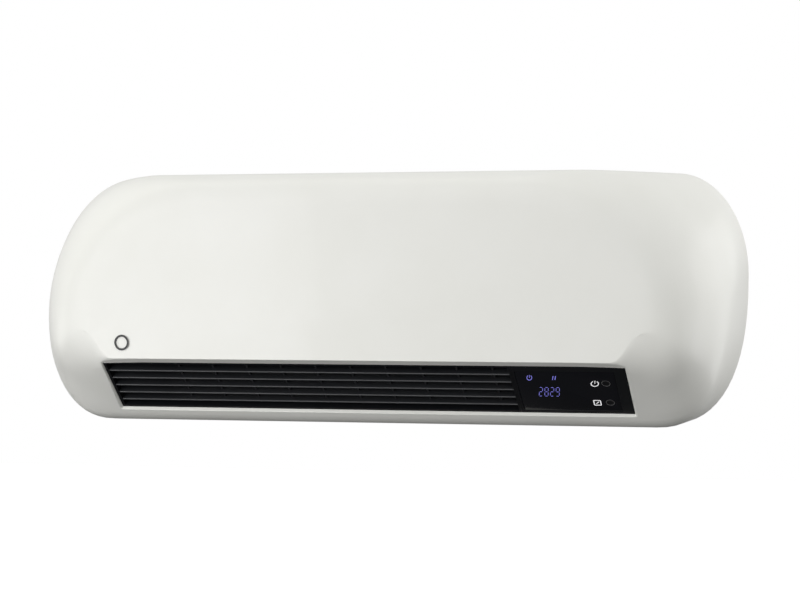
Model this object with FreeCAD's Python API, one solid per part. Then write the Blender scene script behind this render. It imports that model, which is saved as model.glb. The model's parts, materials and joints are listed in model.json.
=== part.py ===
import FreeCAD, Part
import math
import os
from FreeCAD import Rotation, Vector

# Wall-mounted fan convector heater: a pillow-shaped casing with a tilted air outlet along its lower
# front edge, a display beside the outlet, and a cross-flow fan blowing through a ceramic heater.
# Millimetres. X runs along the casing, Y points into the wall, Z is up. The wall is the plane Y = 0,
# and the origin is the centre of the back face.

# ---------------------------------------------------------------- driving dimensions
WIDTH = 546.0
HEIGHT = 188.0
DEPTH = 118.0
WALL = 2.5

TILT = 49.0                # the outlet face leans back this many degrees from vertical
CREASE_Z = -45.0           # where the outlet plane would meet the front plane
EDGE_R = 10.0              # rounding from the front plane into the outlet plane
LIP_R = 25.0               # rounding from the outlet plane into the flat underside

CAP_ROLL = 48.0            # how far the ends draw in at the front
CAP_RUN = 131.0            # depth over which they do
TOP_ROLL = 12.0            # how far the top rolls over at the front
TOP_RUN = 40.0
UPPER_FRONT = 110.0        # length of the upper end corner, at the front plane
UPPER_WALL = 53.0          # and at the wall
LOWER_FRONT = 5.0          # length of the lower end corner, at the front plane
LOWER_WALL = 61.0          # and at the wall
WIDEST_FRONT = 0.05        # height of the widest level, as a share of the height
WIDEST_WALL = 0.60
WIDEST_EASE = 1.6
LOWER_POWER = 2.4          # exponent of the lower corner's superellipse
SECTIONS = 24
SECTION_CROWD = 1.6        # crowds the sections towards the front, where the outline changes fast
PAST_WALL = 30.0           # the loft runs on this far, so that its last span lies outside the casing

GAP = 0.25                 # play between parts that only sit together

# outlet face, in its own frame: x along the casing, v up the slope, n outwards
POCKET_DEPTH = 2.2
PANEL_X = 200.0
PANEL_TOP = -7.1
PANEL_LOW = -61.1
SPLIT_X = 115.8            # the grille is left of this, the display right of it
GRILLE_DEEP = 12.0
SLATS = 5
RIB_PITCH = 27.0

# cross-flow fan
FAN_Y = -44.0
FAN_Z = 5.0
FAN_R = 27.0
FAN_LEFT = -160.0
FAN_RIGHT = 98.0
BLADES = 26
SHAFT_R = 2.5
MOTOR_R = 22.0
MOTOR_LONG = 36.0

# heater
PTC_LEFT = -156.0
PTC_RIGHT = 97.0
PTC_IN = -20.0             # front of the heater, behind the outlet plane
PTC_THICK = 15.0

HANGER_PITCH = 300.0
HANGER_Z = 38.0
HANGER_HEAD_R = 5.0
HANGER_SLOT = 5.0

TAN = math.tan(math.radians(TILT))
SIN = math.sin(math.radians(TILT))
COS = math.cos(math.radians(TILT))
SLOPE_TURN = Rotation(Vector(1, 0, 0), 90.0 + TILT)
SLOPE_ORIGIN = Vector(0, -DEPTH, CREASE_Z)

parts = {}


def add(name, shape):
    """Keeps a finished piece under its own name."""
    parts[name] = shape.removeSplitter()


# ---------------------------------------------------------------- small helpers
def box(x0, x1, y0, y1, z0, z1):
    return Part.makeBox(x1 - x0, y1 - y0, z1 - z0, Vector(x0, y0, z0))


def rod_x(x0, x1, radius, y, z):
    return Part.makeCylinder(radius, x1 - x0, Vector(x0, y, z), Vector(1, 0, 0))


def rod_y(y0, y1, radius, x, z):
    return Part.makeCylinder(radius, y1 - y0, Vector(x, y0, z), Vector(0, 1, 0))


def fuse(shapes):
    return shapes[0].multiFuse(shapes[1:]) if len(shapes) > 1 else shapes[0]


def on_slope(shape):
    """Turns a shape from the outlet frame (x, v, n) into the casing's frame."""
    shape.Placement = FreeCAD.Placement(SLOPE_ORIGIN, SLOPE_TURN).multiply(shape.Placement)
    return shape


def polygon_x(points, x0, x1):
    """A prism along X whose section is the (y, z) outline."""
    loop = [Vector(x0, y, z) for y, z in points]
    face = Part.Face(Part.makePolygon(loop + loop[:1]))
    return face.extrude(Vector(x1 - x0, 0, 0))


def rounded_rect(x0, x1, v0, v1, radius, n):
    """A closed wire with round corners at height n."""
    k = radius
    mid = k * (1 - math.sqrt(0.5))
    pts = [
        ((x0 + k, v0), (x1 - k, v0), (x1 - mid, v0 + mid), (x1, v0 + k)),
        ((x1, v0 + k), (x1, v1 - k), (x1 - mid, v1 - mid), (x1 - k, v1)),
        ((x1 - k, v1), (x0 + k, v1), (x0 + mid, v1 - mid), (x0, v1 - k)),
        ((x0, v1 - k), (x0, v0 + k), (x0 + mid, v0 + mid), (x0 + k, v0)),
    ]
    edges = []
    for start, end, middle, stop in pts:
        a, b, m, c = (Vector(p[0], p[1], n) for p in (start, end, middle, stop))
        edges.append(Part.LineSegment(a, b).toShape())
        edges.append(Part.Arc(b, m, c).toShape())
    return Part.Wire(edges)


# ---------------------------------------------------------------- casing outline
def ease(q, run):
    """Quarter-circle law: 0 at the front plane, 1 at depth run."""
    return math.sqrt(1.0 - (1.0 - min(q / run, 1.0)) ** 2)


def lowest(q):
    """Height of the underside at depth q: round edge, outlet plane, round lip, flat bottom."""
    edge_end = EDGE_R * (1 - COS)
    if q < edge_end:
        centre = CREASE_Z + EDGE_R * math.tan(math.radians(TILT / 2))
        return centre - math.sqrt(EDGE_R ** 2 - (EDGE_R - q) ** 2)
    corner = (HEIGHT / 2 + CREASE_Z) * TAN
    reach = LIP_R * math.tan(math.radians((90 - TILT) / 2))
    if q < corner - reach * SIN:
        return CREASE_Z - q / TAN
    if q < corner + reach:
        return -HEIGHT / 2 + LIP_R - math.sqrt(LIP_R ** 2 - (q - corner - reach) ** 2)
    return -HEIGHT / 2


def outline(q, inset, y):
    """The casing's outline at depth q, drawn in by inset and laid at y, as a closed wire."""
    roll = ease(q, CAP_RUN)
    half = WIDTH / 2 - CAP_ROLL * (1 - roll) - inset
    top = HEIGHT / 2 - TOP_ROLL * (1 - ease(q, TOP_RUN)) - inset
    low = lowest(q) + inset
    upper = UPPER_FRONT + (UPPER_WALL - UPPER_FRONT) * q / DEPTH
    lower = LOWER_FRONT + (LOWER_WALL - LOWER_FRONT) * roll
    level = WIDEST_FRONT + (WIDEST_WALL - WIDEST_FRONT) * roll ** WIDEST_EASE
    mid = low + level * (top - low)
    quarter = [math.pi / 2 * i / 8 for i in range(9)]
    end = []
    for t in reversed(quarter):
        s = math.sin(t) ** (2 / LOWER_POWER)
        c = math.cos(t) ** (2 / LOWER_POWER) if t < quarter[-1] else 0.0
        end.append(Vector(half - lower + lower * c, y, mid - (mid - low) * s))
    for t in quarter[1:]:
        end.append(Vector(half - upper + upper * math.cos(t), y, mid + (top - mid) * math.sin(t)))
    knots = [i / (len(end) - 1) for i in range(len(end))]
    right = Part.BSplineCurve()
    right.interpolate(Points=end, Parameters=knots)
    mirrored = [Vector(-p.x, p.y, p.z) for p in reversed(end)]
    left = Part.BSplineCurve()
    left.interpolate(Points=mirrored, Parameters=knots)
    return Part.Wire([
        Part.LineSegment(mirrored[-1], end[0]).toShape(),
        right.toShape(),
        Part.LineSegment(end[-1], mirrored[0]).toShape(),
        left.toShape(),
    ])


def pillow(inset, start):
    """The casing's solid, lofted through outlines from the front plane past the wall, and cut at the wall."""
    last = DEPTH + PAST_WALL
    depths = [last * (i / SECTIONS) ** SECTION_CROWD for i in range(SECTIONS + 1)]
    wires = [outline(q, inset, start + q) for q in depths]
    solid = Part.makeLoft(wires, True, False, False, 3)
    return solid.cut(box(-WIDTH, WIDTH, 0.0, 2 * PAST_WALL, -HEIGHT, HEIGHT))


def wall_face(solid):
    """The loft's end face, in the wall plane."""
    return [f for f in solid.Faces if f.BoundBox.YMin > -0.001 and f.BoundBox.YLength < 0.001][0]


def hollow_pillow():
    """The casing as a skin WALL thick, open at the back: two lofts joined by their rim."""
    outer = pillow(0.0, -DEPTH)
    inner = pillow(WALL, -DEPTH + WALL)
    outer_end = wall_face(outer)
    inner_end = wall_face(inner)
    faces = [f for f in outer.Faces if not f.isSame(outer_end)]
    faces += [f for f in inner.Faces if not f.isSame(inner_end)]
    faces.append(Part.Face([outer_end.OuterWire, inner_end.OuterWire]))
    skin = Part.Solid(Part.Shell(faces))
    skin.fix(1e-4, 1e-4, 1e-3)
    return skin


# ---------------------------------------------------------------- casing
def slope_box(x0, x1, v0, v1, n0, n1):
    """A box in the outlet frame, turned into place."""
    return on_slope(box(x0, x1, v0, v1, n0, n1))


THROAT_DEEP = 7.0          # how far the straight part of the mouth is cut through the skin
MOUTH_SIDE = 3.2           # how much wider than the panel the mouth is at the skin: at its ends,
MOUTH_RISE = 15.7          # above it,
MOUTH_DROP = 1.6           # and below it
MOUTH_CORNER = 12.0

CASE_SCREW_X = 200.0
CASE_SCREW_Z = 83.0
SCREW_POST_R = 5.5
SCREW_POST_RIB = 3.0
SCREW_PILOT_R = 1.5
BOSS_FRONT = -32.0
BOSS_BACK = -9.3
INTAKE_X = 160.0
INTAKE_FRONT = -72.0
INTAKE_BACK = -22.0
INLET_X = 170.0
INLET_Y = -18.5
INLET_R = 6.0


def pocket():
    """The flared mouth round the outlet panel: tight at the panel, wide and round at the skin."""
    side, low, top = PANEL_X + GAP, PANEL_LOW - GAP, PANEL_TOP + GAP
    tight = rounded_rect(-side, side, low, top, 1.0, -POCKET_DEPTH)
    skin_x = PANEL_X + MOUTH_SIDE
    wide = rounded_rect(-skin_x, skin_x, PANEL_LOW - MOUTH_DROP, PANEL_TOP + MOUTH_RISE, MOUTH_CORNER, 1.5)
    mouth = Part.makeLoft([tight, wide], True, True)
    throat = box(-side, side, low, top, -THROAT_DEEP, -POCKET_DEPTH)
    return on_slope(mouth.fuse(throat))


def screw_places():
    return [(sx * CASE_SCREW_X, sz * CASE_SCREW_Z) for sx in (-1, 1) for sz in (-1, 1)]


def front_shell():
    shell = hollow_pillow().cut(pocket())
    shell = shell.cut(box(-INTAKE_X, INTAKE_X, INTAKE_FRONT, INTAKE_BACK, HEIGHT / 2 - 10.0, HEIGHT))
    inlet = Part.makeCylinder(INLET_R, 3 * WALL, Vector(INLET_X, INLET_Y, -HEIGHT / 2 - WALL))
    shell = shell.cut(inlet)
    posts = []
    half_rib = SCREW_POST_RIB / 2
    for x, z in screw_places():
        wall_z = math.copysign(HEIGHT / 2 - WALL / 2, z)
        posts.append(rod_y(BOSS_FRONT, BOSS_BACK, SCREW_POST_R, x, z))
        posts.append(box(x - half_rib, x + half_rib, BOSS_FRONT, BOSS_BACK, min(z, wall_z), max(z, wall_z)))
    shell = fuse([shell] + posts)
    for x, z in screw_places():
        shell = shell.cut(rod_y(BOSS_FRONT + 6.0, BOSS_BACK, SCREW_PILOT_R, x, z))
    add("front_shell", shell)


BACK_THICK = 3.0
BACK_PLAY = 1.0            # between the back plate's edge and the shell
RIM_DEEP = 8.0             # the rim round the back plate reaches this far in
RIM_THICK = 2.0
CUP_R = 6.5                # cups that sink the case screws
CUP_DEEP = 9.0
CUP_BORE_R = 4.2
CUP_FLOOR = 3.0
CUP_HOLE_R = 1.8
POCKET_OUT = 9.0           # half width of the closed pocket behind a keyhole,
POCKET_IN = 7.5            # and of the space in it
POCKET_TALL = 16.0
POCKET_BACK = 10.0
KEYHOLE_RUN = 9.5          # from the middle of the round hole to the top of the slot
RIB_LEVELS = (-60.0, -30.0, 60.0)
RIB_HALF = 150.0
BOARD_X = (175.0, 245.0)
BOARD_Z = (-30.0, 45.0)
BOARD_Y = -12.4
BOARD_MARGIN = 5.0
BOARD_POST_R = 3.0


def board_corners():
    m = BOARD_MARGIN
    return [(x, z) for x in (BOARD_X[0] + m, BOARD_X[1] - m) for z in (BOARD_Z[0] + m, BOARD_Z[1] - m)]


def back_plate(inset, thick, y):
    face = Part.Face(outline(DEPTH, inset, y))
    return face.extrude(Vector(0, thick, 0))


def hanger_pocket(x):
    """The closed pocket behind one keyhole, and what is cut from it and from the plate."""
    out, room, skin = POCKET_OUT, POCKET_IN, POCKET_OUT - POCKET_IN
    block = box(x - out, x + out, -POCKET_BACK, -1.0, HANGER_Z - out, HANGER_Z + POCKET_TALL)
    slot_end = HANGER_Z + KEYHOLE_RUN
    half = HANGER_SLOT / 2
    through = (-BACK_THICK - 1.0, 1.0)
    top = HANGER_Z + POCKET_TALL - skin
    cuts = [
        box(x - room, x + room, skin - POCKET_BACK, -BACK_THICK, HANGER_Z - room, top),
        rod_y(*through, HANGER_HEAD_R, x, HANGER_Z),
        box(x - half, x + half, *through, HANGER_Z, slot_end),
        rod_y(*through, half, x, slot_end),
    ]
    return block, fuse(cuts)


def rear_cover():
    """Flat back plate with a rim, screw cups, keyhole hangers in closed pockets, and board posts."""
    edge = WALL + BACK_PLAY
    plate = back_plate(edge, BACK_THICK, -BACK_THICK)
    rim = back_plate(edge + RIM_THICK, RIM_DEEP - BACK_THICK, -RIM_DEEP)
    rim = rim.cut(back_plate(edge + 2 * RIM_THICK, RIM_DEEP, -RIM_DEEP - 1.0))
    pockets = [hanger_pocket(side * HANGER_PITCH / 2) for side in (-1, 1)]
    solids = [plate, rim] + [block for block, space in pockets]
    for x, z in screw_places():
        solids.append(rod_y(-CUP_DEEP, 0.0, CUP_R, x, z))
    for x, z in board_corners():
        solids.append(rod_y(BOARD_Y, -1.0, BOARD_POST_R, x, z))
    for z in RIB_LEVELS:
        solids.append(box(-RIB_HALF, RIB_HALF, -BACK_THICK - 2.0, -BACK_THICK + 1.0, z - 0.8, z + 0.8))
    cover = fuse(solids)
    for x, z in screw_places():
        cover = cover.cut(rod_y(CUP_FLOOR - CUP_DEEP, 1.0, CUP_BORE_R, x, z))
        cover = cover.cut(rod_y(-CUP_DEEP - 1.0, CUP_FLOOR - CUP_DEEP + 1.0, CUP_HOLE_R, x, z))
    for x, z in board_corners():
        cover = cover.cut(rod_y(BOARD_Y - 1.0, -4.0, 1.0, x, z))
    for block, space in pockets:
        cover = cover.cut(space)
    add("rear_cover", cover)


SCREW_HEAD_R = 3.6
SCREW_HEAD_TALL = 2.3
SCREW_SHANK_R = 1.4
SCREW_SHANK = 18.1
CROSS_ARM = 2.2
CROSS_HALF = 0.4
CROSS_DEEP = 1.2


def case_screws():
    """Cross-head screws sunk in the cups of the back plate."""
    seat = CUP_FLOOR - CUP_DEEP + 0.1
    face = seat + SCREW_HEAD_TALL
    slot = (face - CROSS_DEEP, face + 1.0)
    solids = []
    for x, z in screw_places():
        head = rod_y(seat, face, SCREW_HEAD_R, x, z)
        shank = rod_y(seat - SCREW_SHANK, seat, SCREW_SHANK_R, x, z)
        cross = box(x - CROSS_ARM, x + CROSS_ARM, *slot, z - CROSS_HALF, z + CROSS_HALF)
        cross = cross.fuse(box(x - CROSS_HALF, x + CROSS_HALF, *slot, z - CROSS_ARM, z + CROSS_ARM))
        solids.append(head.fuse(shank).cut(cross))
    add("case_screws", Part.makeCompound(solids))


INTAKE_RIM = 4.0
INTAKE_FLANGE = 3.0
INTAKE_BARS = 7
INTAKE_RIBS = 7
BAR_WIDE = 2.2
RIB_WIDE = 2.0
FILTER_EDGE = 5.0
FILTER_PAST = 2.0          # how far the filter's frame reaches past the opening


def intake_grille():
    """Louvre let into the top of the casing, with a flange that holds it from inside."""
    top = HEIGHT / 2
    rim_low = top - INTAKE_RIM
    x0, x1 = -INTAKE_X + GAP, INTAKE_X - GAP
    y0, y1 = INTAKE_FRONT + GAP, INTAKE_BACK - GAP
    ax0, ax1, ay0, ay1 = x0 + INTAKE_RIM, x1 - INTAKE_RIM, y0 + INTAKE_RIM, y1 - INTAKE_RIM
    opening = box(ax0, ax1, ay0, ay1, rim_low - 1.0, top + 1.0)
    rim = box(x0, x1, y0, y1, rim_low, top)
    over = INTAKE_FLANGE
    flange = box(x0 - over, x1 + over, y0 - over, y1 + over, rim_low, top - WALL - 0.1)
    solids = [rim.fuse(flange).cut(opening)]
    half_bar = BAR_WIDE / 2
    for i in range(INTAKE_BARS):
        y = ay0 + (ay1 - ay0) * (i + 1) / (INTAKE_BARS + 1)
        solids.append(box(ax0 - 1.0, ax1 + 1.0, y - half_bar, y + half_bar, top - 3.0, top - 0.3))
    half_rib = RIB_WIDE / 2
    for i in range(INTAKE_RIBS):
        x = ax0 + (ax1 - ax0) * (i + 1) / (INTAKE_RIBS + 1)
        solids.append(box(x - half_rib, x + half_rib, ay0 - 1.0, ay1 + 1.0, rim_low, top - 0.8))
    add("intake_grille", fuse(solids))


def dust_filter():
    """Fine mesh in a flat frame, under the intake louvre."""
    top = HEIGHT / 2 - INTAKE_RIM - 0.2
    past, edge = FILTER_PAST, FILTER_EDGE
    x0, x1, y0, y1 = -INTAKE_X - past, INTAKE_X + past, INTAKE_FRONT - past, INTAKE_BACK + past
    ax0, ax1, ay0, ay1 = x0 + edge, x1 - edge, y0 + edge, y1 - edge
    frame = box(x0, x1, y0, y1, top - 2.0, top).cut(box(ax0, ax1, ay0, ay1, top - 3.0, top + 1.0))
    add("filter_frame", frame)
    add("filter_mesh", box(ax0, ax1, ay0, ay1, top - 1.3, top - 0.7))


# ---------------------------------------------------------------- outlet grille and display
FLANGE_OVER = 2.5          # how far the frames' flange reaches past the mouth, inside the wall


def panel_frame(x0, x1, window, deep, flange_x):
    """A black panel frame that plugs the casing's mouth from behind, with a flange inside the wall."""
    plug = box(x0, x1, PANEL_LOW, PANEL_TOP, -deep, -POCKET_DEPTH)
    rim = box(flange_x[0], flange_x[1], PANEL_LOW - FLANGE_OVER, PANEL_TOP + FLANGE_OVER, -5.6, -4.0)
    frame = plug.fuse(rim)
    wx0, wx1, wv0, wv1 = window
    return frame.cut(box(wx0, wx1, wv0, wv1, -deep - 1, 0.0))


FRAME_EDGE = 2.0           # width of the frame round the slats
BLANK_X = -166.0           # left of this the grille is closed behind its slats
OPEN_RIGHT = SPLIT_X - 1.6


def outlet_frame():
    """Frame of the air outlet, closed behind its far left end."""
    left, low, top = -PANEL_X + FRAME_EDGE, PANEL_LOW + FRAME_EDGE, PANEL_TOP - FRAME_EDGE
    right = SPLIT_X - 0.1
    window = (left, OPEN_RIGHT, low, top)
    frame = panel_frame(-PANEL_X, right, window, GRILLE_DEEP, (-PANEL_X - FLANGE_OVER, right))
    blank = box(left - 0.5, BLANK_X, low - 0.5, top + 0.5, -GRILLE_DEEP, -GRILLE_DEEP + 1.2)
    add("outlet_frame", on_slope(frame.fuse(blank)))


def slat_levels():
    pitch = (PANEL_TOP - PANEL_LOW) / (SLATS + 1)
    return [PANEL_TOP - pitch * (i + 1) for i in range(SLATS)]


SLAT_HALF = 0.6
LOUVRE_BACK = -10.5
RIB_FRONT = -6.5
FIRST_RIB = -142.0


def outlet_louvre():
    """Long slats with upright ribs behind them, one moulding."""
    x0, x1 = -PANEL_X + FRAME_EDGE + 0.2, OPEN_RIGHT - 0.2
    low, top = PANEL_LOW + FRAME_EDGE + 0.2, PANEL_TOP - FRAME_EDGE - 0.2
    solids = []
    for v in slat_levels():
        solids.append(box(x0, x1, v - SLAT_HALF, v + SLAT_HALF, LOUVRE_BACK, -POCKET_DEPTH - 0.3))
    for i in range(int((x1 - FIRST_RIB) / RIB_PITCH) + 1):
        x = FIRST_RIB + i * RIB_PITCH
        solids.append(box(x - SLAT_HALF, x + SLAT_HALF, low, top, LOUVRE_BACK, RIB_FRONT))
    add("outlet_louvre", on_slope(fuse(solids)))


LENS = (118.0, 191.4, -58.9, -13.1)
LENS_LEDGE = 1.8           # width of the step the lens rests on
BUTTON_X = 183.6
BUTTON_V = (-26.4, -48.5)
BUTTON_R = 3.55
BUTTON_BACK = -4.9
SKIRT_BACK = -5.5
STEM_R = 1.4
STEM_BACK = -7.1
SWITCH_HALF = 3.0
SWITCH_TALL = 3.4
BEZEL_DEEP = 12.0
BOARD_FRONT = -BEZEL_DEEP - 0.1
BOARD_THICK = 1.6
DIGITS_BOX = (129.5, 151.1, -45.0, -28.0)
RECEIVER_X = 160.5
RECEIVER_V = -19.5
RECEIVER_HALF = 2.5


def key(v):
    """One round key: cap, the skirt that keeps it behind the lens, and the stem over its switch."""
    place = Vector(BUTTON_X, v, 0)
    cap = Part.makeCylinder(BUTTON_R, 2.4, place + Vector(0, 0, BUTTON_BACK))
    cap = cap.makeFillet(0.4, [e for e in cap.Edges if e.BoundBox.ZMin > -2.6 and e.BoundBox.ZLength < 0.01])
    skirt = Part.makeCylinder(BUTTON_R + 1.0, 0.9, place + Vector(0, 0, SKIRT_BACK))
    stem = Part.makeCylinder(STEM_R, 1.8, place + Vector(0, 0, STEM_BACK))
    return fuse([cap, skirt, stem])


def switch(v):
    """The small switch on the display board under one key."""
    half = SWITCH_HALF
    top = BOARD_FRONT + SWITCH_TALL + 0.1
    base = box(BUTTON_X - half, BUTTON_X + half, v - half, v + half, BOARD_FRONT, top)
    return base.fuse(Part.makeCylinder(1.7, 1.0, Vector(BUTTON_X, v, top - 0.1)))


def display():
    x0, x1, v0, v1 = LENS
    left, right = SPLIT_X + 0.1, PANEL_X
    inner = (x0 + LENS_LEDGE, x1 - LENS_LEDGE, v0 + LENS_LEDGE, v1 - LENS_LEDGE)
    bezel = panel_frame(left, right, inner, BEZEL_DEEP, (left, right + FLANGE_OVER))
    bezel = bezel.cut(box(x0, x1, v0, v1, -4.5, 0.0))
    add("display_bezel", on_slope(bezel))
    lens = box(x0 + 0.1, x1 - 0.1, v0 + 0.1, v1 - 0.1, -4.4, -POCKET_DEPTH - 0.2)
    for v in BUTTON_V:
        hole = Part.makeCylinder(BUTTON_R + 0.15, 5.0, Vector(BUTTON_X, v, -6.0))
        lens = lens.cut(hole)
    add("display_lens", on_slope(lens))
    for name, v in zip(("power", "timer"), BUTTON_V):
        add(name + "_button", on_slope(key(v)))
        add(name + "_switch", on_slope(switch(v)))
    board_back = BOARD_FRONT - BOARD_THICK
    board = box(left + 2.4, right - 3.0, PANEL_LOW + 1.0, PANEL_TOP - 1.0, board_back, BOARD_FRONT)
    add("display_board", on_slope(board))
    add("digit_module", slope_box(*DIGITS_BOX, BOARD_FRONT, -4.8))
    half = RECEIVER_HALF
    eye = (RECEIVER_X - half, RECEIVER_X + half, RECEIVER_V - half, RECEIVER_V + half)
    receiver = box(*eye, BOARD_FRONT, -8.0)
    dome = Part.makeSphere(2.2, Vector(RECEIVER_X, RECEIVER_V, -8.0))
    add("infrared_receiver", on_slope(receiver.fuse(dome)))


# ---------------------------------------------------------------- heater
PTC_LOW = -57.0
PTC_TOP = -11.0
BARS = 3
BAR_THICK = 3.0
FIN_PITCH = 3.6
FIN_THICK = 0.6
FIN_BASE = 0.8
HOLDER_WIDE = 5.0
HOLDER_OVER = 1.2          # how far a holder stands above and below the fins
TAB_LONG = 12.0
TAB_HALF = 3.0
TAB_THICK = 0.8
TAB_IN = 8.0               # how far behind the front of the heater the tabs lie
PTC_BACK = PTC_IN - PTC_THICK


def fin_comb(x0, x1, v0, v1):
    """Outline of a strip of upright fins on a thin base, extruded through the heater's thickness."""
    step = v0 + FIN_BASE
    pts = [(x0, v0), (x1, v0), (x1, step)]
    count = int((x1 - x0 - FIN_THICK) / FIN_PITCH)
    for i in range(count, -1, -1):
        x = x0 + i * FIN_PITCH
        pts += [(x + FIN_THICK, step), (x + FIN_THICK, v1), (x, v1), (x, step)]
    pts = pts[:-1]
    loop = [Vector(x, v, PTC_BACK) for x, v in pts]
    return Part.Face(Part.makePolygon(loop + loop[:1])).extrude(Vector(0, 0, PTC_THICK))


def bar_levels():
    """Undersides of the ceramic bars, and the height of the fins between them."""
    tall = (PTC_TOP - PTC_LOW - BARS * BAR_THICK) / (BARS + 1)
    return [PTC_LOW + tall + i * (tall + BAR_THICK) for i in range(BARS)], tall


def heater():
    levels, tall = bar_levels()
    fins = [fin_comb(PTC_LEFT, PTC_RIGHT, low - tall, low) for low in levels]
    fins.append(fin_comb(PTC_LEFT, PTC_RIGHT, PTC_TOP - tall, PTC_TOP))
    add("heater_fins", on_slope(Part.makeCompound(fins)))
    bars = [box(PTC_LEFT, PTC_RIGHT, low, low + BAR_THICK, PTC_BACK, PTC_IN) for low in levels]
    add("ceramic_bars", on_slope(Part.makeCompound(bars)))
    for name, x, side in (("heater_holder_left", PTC_LEFT, -1), ("heater_holder_right", PTC_RIGHT, 1)):
        lo, hi = sorted((x, x + side * HOLDER_WIDE))
        holder = box(lo, hi, PTC_LOW - HOLDER_OVER, PTC_TOP + HOLDER_OVER, PTC_BACK - 1.0, PTC_IN + 1.0)
        add(name, on_slope(holder))
    tabs = []
    x0 = PTC_RIGHT + HOLDER_WIDE
    for v in tab_levels():
        tab_n = PTC_IN - TAB_IN
        tabs.append(box(x0, x0 + TAB_LONG, v - TAB_HALF, v + TAB_HALF, tab_n, tab_n + TAB_THICK))
    add("heater_terminals", on_slope(Part.makeCompound(tabs)))


def tab_levels():
    return [low + BAR_THICK / 2 for low in bar_levels()[0]]


DUCT_LEFT = -164.5
DUCT_RIGHT = 105.5
DUCT_WALL = 1.5
DUCT_LOW = -60.0
DUCT_TOP = -8.0
DUCT_GAP = 0.1             # the duct's inside clears its wall thickness by this
DUCT_END = PTC_BACK - 2.0


def outlet_duct():
    """Square sleeve that holds the heater and leads its air to the grille."""
    wall = DUCT_WALL + DUCT_GAP
    outer = box(DUCT_LEFT, DUCT_RIGHT, DUCT_LOW, DUCT_TOP, DUCT_END, -GRILLE_DEEP - 0.3)
    side = (DUCT_LEFT + DUCT_WALL, DUCT_RIGHT - DUCT_WALL)
    inner = box(*side, DUCT_LOW + wall, DUCT_TOP - wall, DUCT_END - 1, 0)
    duct = outer.cut(inner)
    exits = []
    for v in tab_levels():
        reach = TAB_HALF + 1.0
        tab_n = PTC_IN - TAB_IN
        exits.append(box(DUCT_RIGHT - 3, DUCT_RIGHT + 1, v - reach, v + reach, tab_n - 1.5, tab_n + 2.3))
    add("outlet_duct", on_slope(duct.cut(fuse(exits))))


# ---------------------------------------------------------------- fan
HOUSING_LEFT = -164.5
HOUSING_RIGHT = 105.5
HOUSING_END = DUCT_END - 0.2
SCROLL_FLOOR = DUCT_LOW + DUCT_WALL + DUCT_GAP     # level with the floor of the duct
SCROLL_NEAR = 29.5         # distance of the scroll from the fan's axis where it ends
SCROLL_STEP = 8            # degrees between the points of its outline
SCROLL_FEET = (-120.0, 60.0)
SCROLL_SPAN = 160          # degrees that the scroll wraps round the fan
FAN_CENTRE = Vector(0, FAN_Y, FAN_Z)


def fan_local():
    """The fan's axis in the outlet frame, as (v, n)."""
    local = SLOPE_TURN.inverted().multVec(FAN_CENTRE - SLOPE_ORIGIN)
    return local.y, local.z


def prism_on_slope(points, x0, x1):
    """A prism along X whose section is the (v, n) outline."""
    loop = [Vector(x0, v, n) for v, n in points]
    return on_slope(Part.Face(Part.makePolygon(loop + loop[:1])).extrude(Vector(x1 - x0, 0, 0)))


def scroll_housing():
    fv, fn = fan_local()
    far = fv - SCROLL_FLOOR
    inner = []
    outer = []
    for degrees in range(0, SCROLL_SPAN + 1, SCROLL_STEP):
        radius = far - (far - SCROLL_NEAR) * degrees / SCROLL_SPAN
        a = math.radians(degrees)
        dv, dn = -math.cos(a), -math.sin(a)
        inner.append((fv + radius * dv, fn + radius * dn))
        outer.append((fv + (radius + DUCT_WALL) * dv, fn + (radius + DUCT_WALL) * dn))
    section = [(SCROLL_FLOOR, HOUSING_END)] + inner + outer[::-1] + [(SCROLL_FLOOR - DUCT_WALL, HOUSING_END)]
    solids = [prism_on_slope(section, HOUSING_LEFT, HOUSING_RIGHT)]
    for x in SCROLL_FEET:
        solids.append(box(x - 6, x + 6, -14.0, -BACK_THICK - 0.1, FAN_Z - 2, FAN_Z + 10))
    scroll = fuse(solids)
    sweep = rod_x(HOUSING_LEFT, HOUSING_RIGHT, SCROLL_NEAR, FAN_Y, FAN_Z)
    add("scroll_housing", scroll.cut(sweep))


TONGUE_UNDER = [(-9.6, HOUSING_END), (-9.6, -57.0), (-6.0, -61.0), (4.0, -63.5)]
TONGUE_OVER = [(4.0, -62.0), (-5.2, -59.6), (-8.1, -56.4), (-8.1, HOUSING_END)]


def tongue():
    """The cut-off edge above the outlet, close to the fan."""
    add("fan_tongue", prism_on_slope(TONGUE_UNDER + TONGUE_OVER, HOUSING_LEFT, HOUSING_RIGHT))


CHEEK_R = 38.0
PLATE_THICK = 1.5
CUP_SIDE = 7.5             # how far the bearing cup stands out from the left plate
CUP_WALL = 1.8


def end_plate(x0, x1):
    """A side cheek of the fan housing: round at the fan, square at the heater."""
    fv, fn = fan_local()
    disc = rod_x(x0, x1, CHEEK_R, FAN_Y, FAN_Z)
    cheek = slope_box(x0, x1, DUCT_LOW, 4.0, fn, HOUSING_END)
    return disc.fuse(cheek)


BUSH_R = 6.0
RUBBER_R = 9.0


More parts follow.
